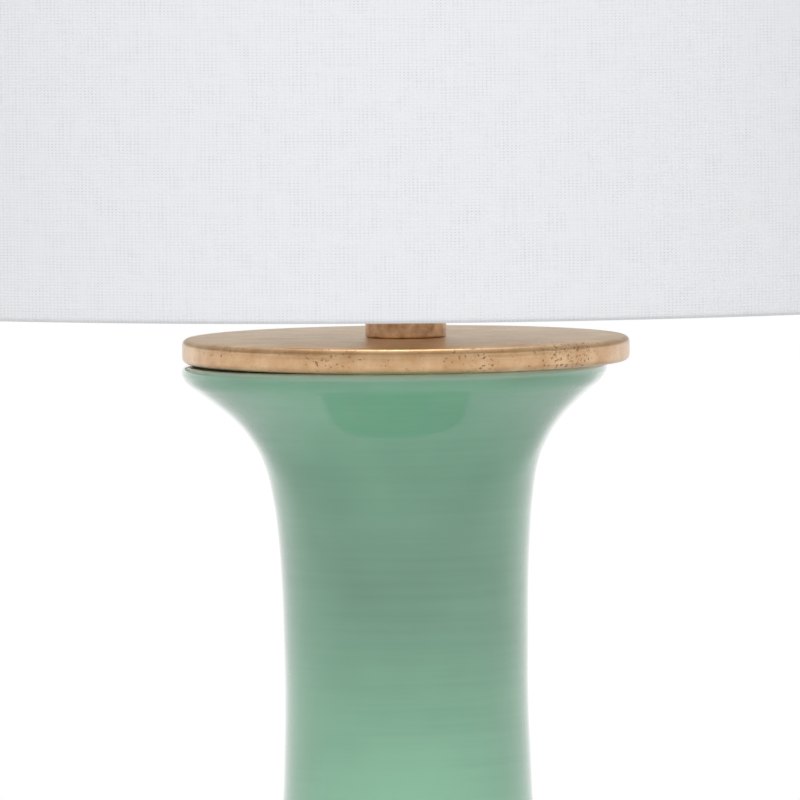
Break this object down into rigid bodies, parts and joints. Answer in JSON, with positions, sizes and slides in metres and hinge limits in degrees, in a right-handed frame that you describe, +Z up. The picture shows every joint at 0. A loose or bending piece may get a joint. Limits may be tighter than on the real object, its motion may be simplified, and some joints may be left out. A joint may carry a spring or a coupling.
{
  "type": "table lamp",
  "caption": "Table lamp with a celadon glazed trumpet-neck jar, gold-leaf cap, collar and plinth, harp with lift-off white linen drum shade, and turn-switch socket.",
  "frame": {"origin": "centre of the felt pad's underside, on the lamp pipe's axis, on the table top", "axes": "+Z up the lamp pipe, -Y towards the viewer of the picture, harp legs along +X and -X"},
  "size_m": [0.4318, 0.4316, 0.7356],
  "materials": {
    "felt": "cut wool felt",
    "gold_leaf": "turned wood with rubbed gold leaf over a red-brown ground",
    "celadon_glaze": "glossy celadon glaze",
    "brass": "polished brass",
    "steel": "zinc plated steel",
    "gasket": "thin dark ring",
    "bushing": "moulded nylon",
    "phenolic": "moulded phenolic",
    "fibre": "vulcanised fibre sheet",
    "aluminium": "rolled sheet",
    "bulb_white": "moulded polycarbonate",
    "bulb_glass": "frosted diffuser",
    "linen": "plain woven white linen",
    "styrene": "white styrene sheet",
    "wire": "brass plated wire"
  },
  "bodies": {
    "root": {"felt_pad": "felt", "plinth": "gold_leaf", "cord_inlet_bushing": "bushing", "plinth_washer": "steel", "plinth_nut": "steel", "lamp_pipe": "brass", "vase": "celadon_glaze", "mouth_gasket": "gasket", "cap_disc": "gold_leaf", "neck_collar": "gold_leaf", "harp_saddle": "brass", "socket_cap": "brass", "socket_set_screw": "steel", "socket_shell": "brass", "socket_liner": "fibre", "socket_body": "phenolic", "socket_screw_shell": "aluminium", "centre_contact": "brass", "hot_terminal_screw": "brass", "neutral_terminal_screw": "steel", "switch_bushing": "brass"},
    "switch": {"switch_shaft": "brass", "switch_knob": "phenolic"},
    "harp": {"harp_bow": "brass"},
    "ferrule_right": {"harp_ferrule_right": "brass"},
    "ferrule_left": {"harp_ferrule_left": "brass"},
    "harp_seat": {"harp_seat": "brass"},
    "shade": {"shade_fabric": "linen", "shade_liner": "styrene", "shade_top_ring": "wire", "shade_bottom_ring": "wire", "shade_spider": "wire"},
    "finial": {"finial_base": "brass", "finial_knob": "gold_leaf"},
    "bulb": {"bulb_tip": "steel", "bulb_insulator": "phenolic", "bulb_screw_shell": "aluminium", "bulb_housing": "bulb_white", "bulb_diffuser": "bulb_glass"}
  },
  "joints": [
    {"name": "switch_turn", "type": "hinge", "parent": "root", "child": "switch", "pos_m": [0, -0.0295, 0.4623], "axis": [0, -1, 0], "continuous": true},
    {"name": "bulb_turn", "type": "hinge", "parent": "root", "child": "bulb", "pos_m": [0, 0, 0.49], "axis": [0, 0, 1], "continuous": true},
    {"name": "harp_lift", "type": "slide", "parent": "root", "child": "harp", "axis": [0, 0, 1], "range_m": [0, 0.16]},
    {"name": "ferrule_right_slide", "type": "slide", "parent": "harp", "child": "ferrule_right", "axis": [0, 0, 1], "range_m": [0, 0.012]},
    {"name": "ferrule_left_slide", "type": "slide", "parent": "harp", "child": "ferrule_left", "axis": [0, 0, 1], "range_m": [0, 0.012]},
    {"name": "harp_seat_turn", "type": "hinge", "parent": "harp", "child": "harp_seat", "pos_m": [0, 0, 0.6917], "axis": [0, 0, 1], "continuous": true},
    {"name": "shade_lift", "type": "slide", "parent": "harp_seat", "child": "shade", "axis": [0, 0, 1], "range_m": [0, 0.29]},
    {"name": "finial_turn", "type": "hinge", "parent": "shade", "child": "finial", "pos_m": [0, 0, 0.7059], "axis": [0, 0, 1], "continuous": true}
  ]
}
